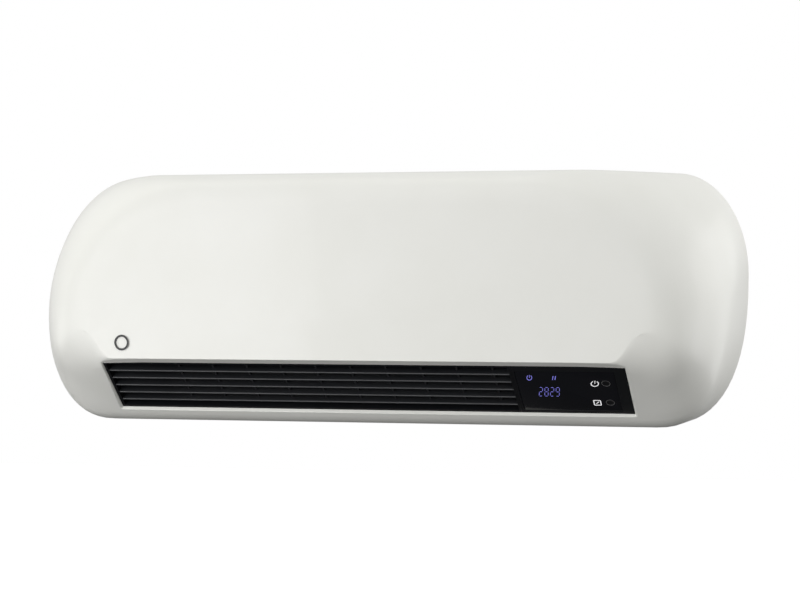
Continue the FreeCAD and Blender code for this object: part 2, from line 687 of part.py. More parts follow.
def fan_housing_ends():
    plate = HOUSING_LEFT - PLATE_THICK
    left = end_plate(plate, HOUSING_LEFT)
    cup = rod_x(plate - CUP_SIDE, plate + 0.1, RUBBER_R + CUP_WALL, FAN_Y, FAN_Z)
    left = left.fuse(cup).cut(rod_x(plate - CUP_SIDE - 1.0, plate - 0.5, RUBBER_R, FAN_Y, FAN_Z))
    left = left.cut(rod_x(plate - 2 * CUP_SIDE, HOUSING_LEFT + 1.0, 4.0, FAN_Y, FAN_Z))
    add("end_plate_left", left)
    through = (HOUSING_RIGHT - 1.0, HOUSING_RIGHT + 2 * PLATE_THICK)
    right = end_plate(HOUSING_RIGHT, HOUSING_RIGHT + PLATE_THICK)
    right = right.cut(rod_x(*through, 4.5, FAN_Y, FAN_Z))
    for y, z in bracket_screws():
        right = right.cut(rod_x(*through, 1.2, y, z))
    add("end_plate_right", right)
    x0, x1 = HOUSING_LEFT - 8.5, HOUSING_LEFT - 2.1
    rubber = rod_x(x0, x1, RUBBER_R - 0.05, FAN_Y, FAN_Z).cut(rod_x(x0 - 1, x1 + 1, BUSH_R, FAN_Y, FAN_Z))
    add("bearing_rubber", rubber)
    bush = rod_x(x0, x1, BUSH_R - 0.02, FAN_Y, FAN_Z).cut(rod_x(x0 - 1, x1 + 1, SHAFT_R + 0.05, FAN_Y, FAN_Z))
    add("bearing_bush", bush)


BLADE_STEPS = 5
BLADE_LONG = 6.4
BLADE_THICK = 0.9
BLADE_BOW = math.radians(34.0)
BLADE_LEAN = 0.1           # radians
ROTOR_RINGS = 6
RING_THICK = 1.6
HUB_LONG = 10.0
HUB_R = SHAFT_R + 3.0


def blade(x0, x1):
    """One forward-curved blade at the top of the rotor."""
    outer = []
    inner = []
    for i in range(BLADE_STEPS + 1):
        t = i / BLADE_STEPS
        radius = FAN_R - 0.2 - BLADE_LONG * (1 - t)
        a = BLADE_BOW * (t - 0.5) ** 2 - BLADE_LEAN
        outer.append((radius * math.sin(a), radius * math.cos(a)))
        b = a + BLADE_THICK / radius
        inner.append((radius * math.sin(b), radius * math.cos(b)))
    ring = outer + inner[::-1]
    return polygon_x([(FAN_Y + y, FAN_Z + z) for y, z in ring], x0, x1)


def fan_rotor():
    end = RING_THICK
    one = blade(FAN_LEFT + end / 2, FAN_RIGHT - end / 2)
    solids = []
    for i in range(BLADES):
        turned = one.copy()
        turned.rotate(FAN_CENTRE, Vector(1, 0, 0), 360.0 * i / BLADES)
        solids.append(turned)
    for i in range(ROTOR_RINGS):
        x = FAN_LEFT + (FAN_RIGHT - FAN_LEFT - end) * i / (ROTOR_RINGS - 1)
        ring = rod_x(x, x + end, FAN_R, FAN_Y, FAN_Z)
        bore = HUB_R if i in (0, ROTOR_RINGS - 1) else FAN_R - 7.5
        solids.append(ring.cut(rod_x(x - 1, x + end + 1, bore, FAN_Y, FAN_Z)))
    add("fan_rotor", fuse(solids))
    for name, x in (("rotor_hub_left", FAN_LEFT), ("rotor_hub_right", FAN_RIGHT - HUB_LONG)):
        hub = rod_x(x, x + HUB_LONG, HUB_R, FAN_Y, FAN_Z)
        add(name, hub.cut(rod_x(x - 1, x + HUB_LONG + 1, SHAFT_R, FAN_Y, FAN_Z)))
    add("fan_stub_shaft", rod_x(HOUSING_LEFT - 8.0, FAN_LEFT + HUB_LONG, SHAFT_R, FAN_Y, FAN_Z))
    add("motor_shaft", rod_x(FAN_RIGHT - HUB_LONG, MOTOR_LEFT + MOTOR_LONG - 3.0, SHAFT_R, FAN_Y, FAN_Z))


MOTOR_LEFT = 112.0
BRACKET_LEFT = HOUSING_RIGHT + 1.6
BRACKET_R = 31.0
BRACKET_THICK = 2.0
BRACKET_SCREWS = 3
BRACKET_SCREW_AT = 27.0    # distance of the screws from the motor's axis
NOSE_R = 7.5
SEAT_R = 16.0


def bracket_screws():
    places = []
    for i in range(BRACKET_SCREWS):
        a = math.pi / 2 + 2 * math.pi * i / BRACKET_SCREWS
        places.append((FAN_Y + BRACKET_SCREW_AT * math.cos(a), FAN_Z + BRACKET_SCREW_AT * math.sin(a)))
    return places


def motor():
    bracket = rod_x(BRACKET_LEFT, BRACKET_LEFT + BRACKET_THICK, BRACKET_R, FAN_Y, FAN_Z)
    bracket = bracket.cut(rod_x(BRACKET_LEFT - 1, BRACKET_LEFT + 3, 8.0, FAN_Y, FAN_Z))
    for y, z in bracket_screws():
        bracket = bracket.cut(rod_x(BRACKET_LEFT - 1, BRACKET_LEFT + 3, 1.8, y, z))
    add("motor_bracket", bracket)
    can = rod_x(MOTOR_LEFT, MOTOR_LEFT + MOTOR_LONG, MOTOR_R, FAN_Y, FAN_Z)
    round_edges = [e for e in can.Edges if e.BoundBox.XLength < 0.01 and e.BoundBox.YLength > 1]
    can = can.makeFillet(2.5, round_edges)
    face = BRACKET_LEFT + BRACKET_THICK + 0.1
    nose = rod_x(BRACKET_LEFT + 0.5, MOTOR_LEFT + 1, NOSE_R, FAN_Y, FAN_Z)
    seat = rod_x(face, MOTOR_LEFT + 1, SEAT_R, FAN_Y, FAN_Z)
    body = fuse([can, nose, seat])
    body = body.cut(rod_x(BRACKET_LEFT - 1, MOTOR_LEFT + MOTOR_LONG - 2.0, SHAFT_R + 0.05, FAN_Y, FAN_Z))
    add("fan_motor", body)
    screws = []
    for y, z in bracket_screws():
        head = rod_x(face, face + 2.0, 2.8, y, z)
        shank = rod_x(HOUSING_RIGHT - 3.0, face, 1.1, y, z)
        screws.append(head.fuse(shank))
    add("motor_screws", Part.makeCompound(screws))


# ---------------------------------------------------------------- electrics
RELAY_PITCH = 22.0
RELAY = (186.0, 15.0, 15.5, 12.0, 19.0)            # x, width, depth, z, height
CAPACITOR = (187.0, 18.0, 13.0, -14.0, 8.5)
CONVERTER = (212.0, 24.0, 17.0, -16.0, 22.0)
BLOCK = (178.0, 214.0, -56.0, -42.0)               # the terminal block's x0, x1, z0, z1
BLOCK_FRONT = -18.0
BLOCK_HOLES = 3
BLOCK_PITCH = 12.0
BOARD_SCREW_R = 0.9
BOARD_HEAD_R = 2.4


def on_board(x, wide, deep, z, tall, face):
    """A block that stands on the front of the control board."""
    return box(x, x + wide, face - deep, face, z, z + tall)


def electrics():
    """Control board on posts at the right end, and the terminal block below it."""
    back = BOARD_Y - 0.1
    front = back - BOARD_THICK
    board = box(*BOARD_X, front, back, *BOARD_Z)
    for x, z in board_corners():
        board = board.cut(rod_y(front - 1.0, back + 1.0, BOARD_SCREW_R + 0.4, x, z))
    add("control_board", board)
    face = front - 0.1
    screws = []
    for x, z in board_corners():
        head = rod_y(face - 1.8, face, BOARD_HEAD_R, x, z)
        screws.append(head.fuse(rod_y(face, BOARD_Y + 6.5, BOARD_SCREW_R, x, z)))
    add("board_screws", Part.makeCompound(screws))
    relay_x, *relay_rest = RELAY
    relays = [on_board(relay_x + RELAY_PITCH * i, *relay_rest, face) for i in range(2)]
    add("relays", Part.makeCompound(relays))
    capacitor = on_board(*CAPACITOR, face)
    nose = capacitor.BoundBox.YMin
    round_edges = [e for e in capacitor.Edges if e.BoundBox.YMax < nose + 0.1]
    add("capacitor", capacitor.makeFillet(1.0, round_edges))
    add("power_converter", on_board(*CONVERTER, face))
    x0, x1, z0, z1 = BLOCK
    block = box(x0, x1, BLOCK_FRONT, -BACK_THICK - 0.1, z0, z1)
    for i in range(BLOCK_HOLES):
        x = (x0 + x1) / 2 + BLOCK_PITCH * (i - (BLOCK_HOLES - 1) / 2)
        block = block.cut(rod_y(BLOCK_FRONT - 2.0, BLOCK_FRONT / 2, 2.4, x, (z0 + z1) / 2))
    add("terminal_block", block)


def inlet_bush():
    """Rubber bush in the underside, where a mains lead comes in."""
    low = -HEIGHT / 2
    sleeve = Part.makeCylinder(INLET_R - 0.2, 11.0, Vector(INLET_X, INLET_Y, low))
    collar = Part.makeCylinder(INLET_R + 2.5, 2.6, Vector(INLET_X, INLET_Y, low + WALL + 0.15))
    bore = Part.makeCylinder(3.8, 30.0, Vector(INLET_X, INLET_Y, low - 5))
    add("inlet_bush", sleeve.fuse(collar).cut(bore))


CUTOUT = (40.0, -8.0, -47.0)                       # the cut-out's middle, in the outlet frame
CUTOUT_R = 8.0
CUTOUT_TALL = 6.0
EAR_REACH = 12.0
EAR_HALF = 4.0
EAR_THICK = 1.2
TERMINAL_AT = 4.0


def thermal_cutout():
    """Snap-disc cut-out on the tongue, over the heater."""
    x, v, n = CUTOUT
    solids = [Part.makeCylinder(CUTOUT_R, CUTOUT_TALL, Vector(x, v, n), Vector(0, 1, 0))]
    solids.append(box(x - EAR_REACH, x + EAR_REACH, v, v + EAR_THICK, n - EAR_HALF, n + EAR_HALF))
    for tab_x in (x - TERMINAL_AT, x + TERMINAL_AT):
        top = v + CUTOUT_TALL
        solids.append(box(tab_x - 2.0, tab_x + 2.0, top, top + 8.0, n - TAB_THICK / 2, n + TAB_THICK / 2))
    add("thermal_cutout", on_slope(fuse(solids)))


def main():
    front_shell()
    rear_cover()
    case_screws()
    intake_grille()
    dust_filter()
    outlet_frame()
    outlet_louvre()
    display()
    heater()
    outlet_duct()
    scroll_housing()
    tongue()
    fan_housing_ends()
    fan_rotor()
    motor()
    electrics()
    inlet_bush()
    thermal_cutout()
    os.makedirs("parts", exist_ok=True)
    for name, shape in parts.items():
        shape.exportStep(os.path.join("parts", name + ".step"))


main()
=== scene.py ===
import json
import math

import bmesh
import bpy
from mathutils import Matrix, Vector


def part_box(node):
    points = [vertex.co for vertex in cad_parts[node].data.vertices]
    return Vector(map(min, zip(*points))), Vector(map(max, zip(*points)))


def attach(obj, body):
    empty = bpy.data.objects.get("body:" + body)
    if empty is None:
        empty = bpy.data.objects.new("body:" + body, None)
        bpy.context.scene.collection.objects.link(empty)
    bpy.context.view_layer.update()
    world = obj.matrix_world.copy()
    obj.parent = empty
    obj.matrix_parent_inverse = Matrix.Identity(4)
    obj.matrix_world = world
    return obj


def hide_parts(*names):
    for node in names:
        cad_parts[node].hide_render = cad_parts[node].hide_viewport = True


# Looks of the wall-mounted fan heater. Sizes are millimetres, in the frame's own axes: X along the casing,
# +Y into the wall, Z up, and the wall is Y = 0. Meshes are scaled to metres where they are made.

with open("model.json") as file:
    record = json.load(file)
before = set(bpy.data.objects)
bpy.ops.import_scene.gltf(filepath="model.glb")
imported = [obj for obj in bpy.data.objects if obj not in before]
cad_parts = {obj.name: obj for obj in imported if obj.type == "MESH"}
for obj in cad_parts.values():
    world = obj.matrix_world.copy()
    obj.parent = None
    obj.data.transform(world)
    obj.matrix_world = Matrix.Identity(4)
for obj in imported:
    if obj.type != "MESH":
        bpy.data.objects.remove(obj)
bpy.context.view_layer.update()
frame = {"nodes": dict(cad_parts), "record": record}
MM = 0.001

shell_low, shell_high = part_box("front_shell")
WIDTH = (shell_high.x - shell_low.x) / MM
HEIGHT = (shell_high.z - shell_low.z) / MM
DEPTH = -shell_low.y / MM
WALL = 2.5

# the outlet plane and the roundings beside it
TILT = math.radians(49.0)
SIN = math.sin(TILT)
COS = math.cos(TILT)
CREASE_Z = -45.0
CREASE_R = 0.8             # the crease above the outlet is crisp
END_R = 60.0               # and fades into a soft rounding at the ends
CREASE_FADE = (191.0, 216.0)
CROWN = 3.0                # how far the front bows back towards its ends
CROWN_X = (160.0, 235.0)
CROWN_DEEP = 60.0          # depth at which the bow has faded out
LIP_R = 25.0

# how the casing rolls away from its flat front
CAP_ROLL = 48.0
CAP_RUN = 131.0
CAP_SOFT = 14.0
CAP_JOIN = 30.0
TOP_ROLL = 12.0
TOP_RUN = 40.0
TOP_SOFT = 12.0
TOP_JOIN = 9.0
UPPER = (110.0, 53.0)      # length of the upper end corner at the front and at the wall
LOWER = (5.0, 61.0)        # and of the lower one
WIDEST = (0.05, 0.60)      # height of the widest level, as a share of the height
WIDEST_EASE = 1.6
LOWER_POWER = 2.4

# the recess that the black panel sits in, in the outlet frame: x along, v up the slope, n outwards
RECESS = 2.2
PANEL_X = 200.25
PANEL_TOP = -7.05
PANEL_LOW = -61.35
SLAT_FIRST = -17.9         # level of the uppermost slat, measured up the slope
SLAT_PITCH = 8.68
MOUTH_X = 202.3            # the flared edge of the recess
MOUTH_TOP = 0.0
MOUTH_LOW = -62.3
MOUTH_R_TOP = 7.0
MOUTH_R_LOW = 2.0

INTAKE_X = 160.0
INTAKE_Y = (-72.0, -22.0)
INLET_X = 170.0
INLET_Y = -18.5
INLET_R = 6.0
INLET_SQUARE = 9.0         # the skin's grid goes from square to round inside this


# ---------------------------------------------------------------- mesh helpers
def between(start, end, steps):
    """Evenly spaced values from start to end, both included."""
    return [start + (end - start) * i / steps for i in range(steps + 1)]


def smoothstep(value, low, high):
    t = min(max((value - low) / (high - low), 0.0), 1.0)
    return t * t * (3 - 2 * t)


def on_slope(x, v, n):
    """A point of the outlet frame, in the row frame."""
    return (x, -DEPTH - SIN * v - COS * n, CREASE_Z + COS * v - SIN * n)


def off_slope(y, z):
    """The (v, n) of a point of the row frame."""
    return -SIN * (y + DEPTH) + COS * (z - CREASE_Z), -COS * (y + DEPTH) - SIN * (z - CREASE_Z)


def new_piece(name, points, faces, material, body="casing", slot=None, sharp=35.0):
    """A mesh piece that rides on a CAD body, shaded smooth up to the sharp angle."""
    mesh = bpy.data.meshes.new(name)
    mesh.from_pydata([Vector(p) * MM for p in points], [], faces)
    tidy = bmesh.new()
    tidy.from_mesh(mesh)
    bmesh.ops.recalc_face_normals(tidy, faces=tidy.faces)
    tidy.to_mesh(mesh)
    tidy.free()
    mesh.shade_smooth()
    mesh.set_sharp_from_angle(angle=math.radians(sharp))
    mesh.materials.append(material)
    piece = bpy.data.objects.new(name, mesh)
    bpy.context.scene.collection.objects.link(piece)
    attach(piece, body)
    return piece


def prism(section, x0, x1):
    """A closed prism along X in the outlet frame, from a (v, n) section: its points and faces."""
    count = len(section)
    points = [on_slope(x, v, n) for x in (x0, x1) for v, n in section]
    faces = [(i, (i + 1) % count, count + (i + 1) % count, count + i) for i in range(count)]
    faces.append(tuple(range(count)))
    faces.append(tuple(range(count, 2 * count)))
    return points, faces


def joined(solids):
    """Several (points, faces) as one."""
    points = []
    faces = []
    for solid_points, solid_faces in solids:
        start = len(points)
        points += solid_points
        faces += [tuple(start + i for i in face) for face in solid_faces]
    return points, faces


# ---------------------------------------------------------------- materials
def node_material(name):
    material = bpy.data.materials.new(name)
    material.use_nodes = True
    tree = material.node_tree
    shader = next(n for n in tree.nodes if n.type == "BSDF_PRINCIPLED")
    return material, tree, shader


def noise(tree, scale, detail=3.0, rough=0.5):
    """A noise texture in the row frame, scale in features per metre."""
    place = tree.nodes.new("ShaderNodeTexCoord")
    texture = tree.nodes.new("ShaderNodeTexNoise")
    texture.inputs["Scale"].default_value = scale
    texture.inputs["Detail"].default_value = detail
    texture.inputs["Roughness"].default_value = rough
    tree.links.new(place.outputs["Object"], texture.inputs["Vector"])
    return texture


def ramp(tree, source, low, high):
    """A colour or grey that runs from low to high over the middle of a texture's range."""
    node = tree.nodes.new("ShaderNodeValToRGB")
    node.color_ramp.elements[0].position = 0.35
    node.color_ramp.elements[1].position = 0.65
    node.color_ramp.elements[0].color = low
    node.color_ramp.elements[1].color = high
    tree.links.new(source, node.inputs["Fac"])
    return node.outputs["Color"]


def grey(value):
    return (value, value, value, 1.0)


def moulded(name, low, high, rough, grain=2500.0, bump=0.05, metal=0.0, coat=0.0, shine=0.5):
    """Moulded plastic or plain metal: faint colour drift, uneven gloss and a fine surface grain."""
    material, tree, shader = node_material(name)
    drift = noise(tree, 14.0)
    tree.links.new(ramp(tree, drift.outputs["Fac"], (*low, 1.0), (*high, 1.0)), shader.inputs["Base Color"])
    gloss = noise(tree, 60.0)
    shade = ramp(tree, gloss.outputs["Fac"], grey(rough[0]), grey(rough[1]))
    tree.links.new(shade, shader.inputs["Roughness"])
    fine = noise(tree, grain, 2.0)
    relief = tree.nodes.new("ShaderNodeBump")
    relief.inputs["Strength"].default_value = bump
    relief.inputs["Distance"].default_value = 0.0002
    tree.links.new(fine.outputs["Fac"], relief.inputs["Height"])
    tree.links.new(relief.outputs["Normal"], shader.inputs["Normal"])
    shader.inputs["Metallic"].default_value = metal
    shader.inputs["Coat Weight"].default_value = coat
    shader.inputs["Specular IOR Level"].default_value = shine
    return material


def brushed(name, low, high, rough, stretch):
    """Drawn or turned metal: fine scratches stretched along one axis."""
    material, tree, shader = node_material(name)
    place = tree.nodes.new("ShaderNodeTexCoord")
    pull = tree.nodes.new("ShaderNodeMapping")
    pull.inputs["Scale"].default_value = stretch
    tree.links.new(place.outputs["Object"], pull.inputs["Vector"])
    lines = tree.nodes.new("ShaderNodeTexNoise")
    lines.inputs["Scale"].default_value = 1.0
    lines.inputs["Detail"].default_value = 4.0
    tree.links.new(pull.outputs["Vector"], lines.inputs["Vector"])
    tree.links.new(ramp(tree, lines.outputs["Fac"], (*low, 1.0), (*high, 1.0)), shader.inputs["Base Color"])
    shade = ramp(tree, lines.outputs["Fac"], grey(rough[0]), grey(rough[1]))
    tree.links.new(shade, shader.inputs["Roughness"])
    relief = tree.nodes.new("ShaderNodeBump")
    relief.inputs["Strength"].default_value = 0.15
    relief.inputs["Distance"].default_value = 0.0001
    tree.links.new(lines.outputs["Fac"], relief.inputs["Height"])
    tree.links.new(relief.outputs["Normal"], shader.inputs["Normal"])
    shader.inputs["Metallic"].default_value = 1.0
    return material


def nose_highlit(name, low, high, rough, nose, depth):
    """Moulded plastic with a painted highlight: its front edges, within depth of the outlet panel's face,
    are painted lighter to stand in for the light they catch.
    """
    material = moulded(name, low, high, rough, 1600.0, 0.10)
    tree = material.node_tree
    shader = next(n for n in tree.nodes if n.type == "BSDF_PRINCIPLED")
    place = tree.nodes.new("ShaderNodeTexCoord")
    along = tree.nodes.new("ShaderNodeVectorMath")
    along.operation = "DOT_PRODUCT"
    along.inputs[1].default_value = (0.0, -COS, -SIN)
    tree.links.new(place.outputs["Object"], along.inputs[0])
    face = (COS * DEPTH - SIN * CREASE_Z) * MM
    # mask of the band just behind the panel's face that takes the painted highlight
    edge = tree.nodes.new("ShaderNodeMapRange")
    edge.inputs["From Min"].default_value = face - (RECESS + depth + 0.4) * MM
    edge.inputs["From Max"].default_value = face - (RECESS + depth) * MM
    tree.links.new(along.outputs["Value"], edge.inputs["Value"])
    # mixes the painted highlight colour into the base colour on that band
    mix = tree.nodes.new("ShaderNodeMix")
    mix.data_type = "RGBA"
    base = shader.inputs["Base Color"].links[0].from_socket
    tree.links.new(edge.outputs["Result"], mix.inputs["Factor"])
    tree.links.new(base, mix.inputs[6])
    mix.inputs[7].default_value = (*nose, 1.0)
    tree.links.new(mix.outputs[2], shader.inputs["Base Color"])
    return material


def glowing(name, colour, strength):
    """A glowing surface, with a slight unevenness along it: used for the lit display segments and for
    printed marks given a painted glow.
    """
    material, tree, shader = node_material(name)
    spots = noise(tree, 900.0)
    dim = tuple(c * 0.8 for c in colour)
    shade = ramp(tree, spots.outputs["Fac"], (*dim, 1.0), (*colour, 1.0))
    tree.links.new(shade, shader.inputs["Emission Color"])
    shader.inputs["Emission Strength"].default_value = strength
    shader.inputs["Base Color"].default_value = (*dim, 1.0)
    shader.inputs["Roughness"].default_value = 0.5
    return material


WHITE_LOW = (0.825, 0.825, 0.785)
WHITE_HIGH = (0.845, 0.845, 0.81)
shell_white = moulded("shell_white", WHITE_LOW, WHITE_HIGH, (0.36, 0.42), coat=0.15)
cover_white = moulded("cover_white", (0.66, 0.66, 0.64), (0.70, 0.70, 0.68), (0.50, 0.60), 1200.0, 0.12)
panel_black = moulded(
    "panel_black", (0.0050, 0.0055, 0.0070), (0.0065, 0.0070, 0.0085), (0.40, 0.50), 1600.0, 0.10, shine=0.2)
lens_smoke = moulded(
    "lens_smoke", (0.0038, 0.0042, 0.0064), (0.0048, 0.0052, 0.0078), (0.10, 0.14), 300.0, 0.01, shine=0.22)
key_black = moulded(
    "key_black", (0.0050, 0.0050, 0.0065), (0.0065, 0.0065, 0.008), (0.32, 0.40), 2000.0, 0.08, shine=0.2)
key_ring = moulded("key_ring", (0.11, 0.11, 0.113), (0.14, 0.14, 0.143), (0.30, 0.40), 2000.0, 0.08)
# painted light: the white printed signs glow, though they are only print and no lamp
glowing_white_print = glowing("glowing_white_print", (0.95, 0.95, 0.97), 0.62)
# painted highlight: lighter colour for the slat noses, standing in for the light they catch
SLAT_NOSE_HIGHLIGHT = (0.060, 0.062, 0.067)
SLAT_NOSE_DEEP = 0.75
slat_black = nose_highlit(
    "slat_black", (0.013, 0.014, 0.0165), (0.016, 0.017, 0.0195), (0.38, 0.48), SLAT_NOSE_HIGHLIGHT, SLAT_NOSE_DEEP)
print_dark = moulded("print_dark", (0.020, 0.020, 0.022), (0.030, 0.030, 0.032), (0.45, 0.55), 900.0, 0.04)
display_blue = glowing("display_blue", (0.20, 0.19, 0.66), 0.80)

# slot, kind of surface, darkest and lightest colour, roughness, then what that kind takes
SLOT_TABLE = (
    ("grille_white", moulded, (0.76, 0.76, 0.74), (0.80, 0.80, 0.78), (0.40, 0.48)),
    ("screw_steel", brushed, (0.42, 0.42, 0.41), (0.58, 0.58, 0.57), (0.28, 0.45), (900, 900, 60)),
    ("filter_grey", moulded, (0.18, 0.18, 0.18), (0.22, 0.22, 0.22), (0.5, 0.6)),
    ("switch_dark", moulded, (0.02, 0.02, 0.02), (0.03, 0.03, 0.03), (0.4, 0.5)),
    ("board_green", moulded, (0.010, 0.090, 0.035), (0.014, 0.120, 0.045), (0.28, 0.40), 400.0, 0.2),
    ("module_dark", moulded, (0.02, 0.02, 0.025), (0.03, 0.03, 0.035), (0.3, 0.4)),
    ("fin_aluminium", brushed, (0.62, 0.63, 0.65), (0.78, 0.79, 0.80), (0.30, 0.5), (60, 60, 2500)),
    ("ceramic_white", moulded, (0.62, 0.60, 0.55), (0.70, 0.68, 0.63), (0.6, 0.75), 700.0, 0.25),
    ("holder_brown", moulded, (0.16, 0.09, 0.05), (0.21, 0.12, 0.07), (0.5, 0.6), 900.0, 0.2),
    ("terminal_brass", brushed, (0.55, 0.38, 0.14), (0.74, 0.54, 0.24), (0.25, 0.4), (700, 80, 80)),
    ("duct_dark", moulded, (0.022, 0.022, 0.024), (0.032, 0.032, 0.034), (0.45, 0.6), 900.0, 0.2),
    ("rubber_black", moulded, (0.012, 0.012, 0.012), (0.02, 0.02, 0.02), (0.7, 0.85), 1500.0, 0.3),
    ("bush_bronze", brushed, (0.40, 0.26, 0.12), (0.54, 0.36, 0.18), (0.3, 0.5), (80, 900, 900)),
    ("rotor_plastic", moulded, (0.030, 0.030, 0.033), (0.042, 0.042, 0.045), (0.38, 0.5)),
    ("shaft_steel", brushed, (0.50, 0.50, 0.50), (0.66, 0.66, 0.66), (0.18, 0.32), (60, 1500, 1500)),
    ("bracket_zinc", moulded, (0.46, 0.47, 0.48), (0.60, 0.61, 0.62), (0.3, 0.5), 300.0, 0.1, 1.0),
    ("motor_steel", brushed, (0.40, 0.41, 0.42), (0.54, 0.55, 0.56), (0.25, 0.42), (60, 1200, 1200)),
    ("relay_blue", moulded, (0.03, 0.09, 0.34), (0.04, 0.12, 0.42), (0.35, 0.45)),
    ("capacitor_yellow", moulded, (0.70, 0.50, 0.06), (0.80, 0.58, 0.09), (0.35, 0.5)),
    ("terminal_white", moulded, (0.66, 0.66, 0.63), (0.72, 0.72, 0.70), (0.4, 0.5)),
    ("cutout_brown", moulded, (0.06, 0.035, 0.02), (0.09, 0.05, 0.03), (0.4, 0.55)),
)
SLOT_LOOKS = {
    "cover_white": cover_white,
    "panel_black": panel_black,
    "bezel_black": panel_black,
}
SLOT_LOOKS.update((slot, make(slot, *look)) for slot, make, *look in SLOT_TABLE)


def woven(name):
    """Fine filter gauze: square threads with see-through holes."""
    material, tree, shader = node_material(name)
    place = tree.nodes.new("ShaderNodeTexCoord")
    split = tree.nodes.new("ShaderNodeSeparateXYZ")
    tree.links.new(place.outputs["Object"], split.inputs["Vector"])
    threads = []
    for axis in ("X", "Y"):
        wave = tree.nodes.new("ShaderNodeMath")
        wave.operation = "PINGPONG"
        wave.inputs[1].default_value = 0.0006
        tree.links.new(split.outputs[axis], wave.inputs[0])
        thread = tree.nodes.new("ShaderNodeMath")
        thread.operation = "LESS_THAN"
        thread.inputs[1].default_value = 0.00022
        tree.links.new(wave.outputs[0], thread.inputs[0])
        threads.append(thread)
    either = tree.nodes.new("ShaderNodeMath")
    either.operation = "MAXIMUM"
    tree.links.new(threads[0].outputs[0], either.inputs[0])
    tree.links.new(threads[1].outputs[0], either.inputs[1])
    tree.links.new(either.outputs[0], shader.inputs["Alpha"])
    dust = noise(tree, 90.0)
    tree.links.new(ramp(tree, dust.outputs["Fac"], grey(0.05), grey(0.08)), shader.inputs["Base Color"])
    shader.inputs["Roughness"].default_value = 0.7
    return material


SLOT_LOOKS["filter_mesh"] = woven("filter_mesh")


def paint_cad_nodes():
    """Gives every CAD node that stays in view the look of its slot."""
    for part in frame["record"]["subparts"]:
        look = SLOT_LOOKS.get(part["material_slot"])
        if look is None:
            continue
        slots = frame["nodes"][part["node"]].data.materials
        if not slots:
            slots.append(look)
        for i in range(len(slots)):
            slots[i] = look


def soften(nodes, width):
    """Breaks the hard edges of CAD nodes with a small bevel."""
    for node in nodes:
        bevel = frame["nodes"][node].modifiers.new("edges", "BEVEL")
        bevel.width = width * MM
        bevel.segments = 2
        bevel.limit_method = "ANGLE"
        bevel.angle_limit = math.radians(40)
        bevel.harden_normals = False


# ---------------------------------------------------------------- casing
def ease(q, run):
    """Quarter-circle law: 0 at the front plane, 1 at depth run."""
    return math.sqrt(1.0 - (1.0 - min(q / run, 1.0)) ** 2)


def rolled(q, total, run, soft, join):
    """How far an edge has rolled out at depth q. It starts soft millimetres further in than the quarter
    ellipse total by run, with no jump in curvature, and joins the ellipse where that has rolled by join."""
    flat = math.sqrt(1 - (join / total) ** 2)
    end = run * (1 - flat)
    if q >= end:
        return total * ease(q, run)
    length = soft + join
    slope = run / total ** 2 * join / flat * length
    bend = run / total ** 2 / flat ** 3 * length ** 2
    cubic = 10 * end - 4 * slope + bend / 2
    quartic = -15 * end + 7 * slope - bend
    quintic = 6 * end - 3 * slope + bend / 2
    low, high = 0.0, 1.0
    for _ in range(40):
        s = (low + high) / 2
        if s ** 3 * (cubic + quartic * s + quintic * s * s) < q:
            low = s
        else:
            high = s
    return -soft + length * low


def edge_radius(x):
    return CREASE_R + (END_R - CREASE_R) * smoothstep(abs(x), *CREASE_FADE)


def lowest(q, radius):
    """Height of the underside at depth q: front edge, outlet plane, round lip, flat bottom."""
    if q < radius * (1 - COS):
        centre = CREASE_Z + radius * math.tan(TILT / 2)
        return centre - math.sqrt(radius ** 2 - (radius - q) ** 2)
    corner = (HEIGHT / 2 + CREASE_Z) * SIN / COS
    reach = LIP_R * math.tan((math.pi / 2 - TILT) / 2)
    if q < corner - reach * SIN:
        return CREASE_Z - q * COS / SIN
    if q < corner + reach:
        return -HEIGHT / 2 + LIP_R - math.sqrt(LIP_R ** 2 - (q - corner - reach) ** 2)
    return -HEIGHT / 2


BOTTOM_COLUMNS = between(0, 150, 6) + [161.0, 164.0] + between(166, 176, 5) + [179.0] + between(184, 194, 4)
BOTTOM_COLUMNS += between(195, PANEL_X, 7) + between(PANEL_X + 0.4, 203.4, 6)
FOOT_STEPS = 2
LOWER_STEPS = 16
UPPER_STEPS = 26
SHOULDER_STEPS = 3
TOP_STEPS = 10


def half_ring(q, inset):
    """The outline's right half at depth q as (x, z), from the middle of the underside to the top's."""
    roll = ease(q, CAP_RUN)
    half = WIDTH / 2 - CAP_ROLL + rolled(q, CAP_ROLL, CAP_RUN, CAP_SOFT, CAP_JOIN) - inset
    top = HEIGHT / 2 - TOP_ROLL + rolled(q, TOP_ROLL, TOP_RUN, TOP_SOFT, TOP_JOIN) - inset
    upper = UPPER[0] + (UPPER[1] - UPPER[0]) * q / DEPTH
    lower = LOWER[0] + (LOWER[1] - LOWER[0]) * roll
    level = WIDEST[0] + (WIDEST[1] - WIDEST[0]) * roll ** WIDEST_EASE
    foot = half - lower
    low = lowest(q, edge_radius(foot)) + inset
    mid = low + level * (top - low)
    columns = BOTTOM_COLUMNS + between(BOTTOM_COLUMNS[-1], foot, FOOT_STEPS)[1:-1]
    ring = [(x, lowest(q, edge_radius(x)) + inset) for x in columns]
    for t in between(math.pi / 2, 0.0, LOWER_STEPS):
        across = max(math.cos(t), 0.0) ** (2 / LOWER_POWER)
        down = math.sin(t) ** (2 / LOWER_POWER)
        ring.append((foot + lower * across, mid - (mid - low) * down))
    head = half - upper
    for t in between(0.0, math.pi / 2, UPPER_STEPS)[1:]:
        ring.append((head + upper * math.cos(t), mid + (top - mid) * math.sin(t)))
    grille = min(INTAKE_X, 0.93 * head)
    ring += [(x, top) for x in between(head, grille, SHOULDER_STEPS)[1:]]
    ring += [(x, top) for x in between(grille, 0.0, TOP_STEPS)[1:]]
    return ring


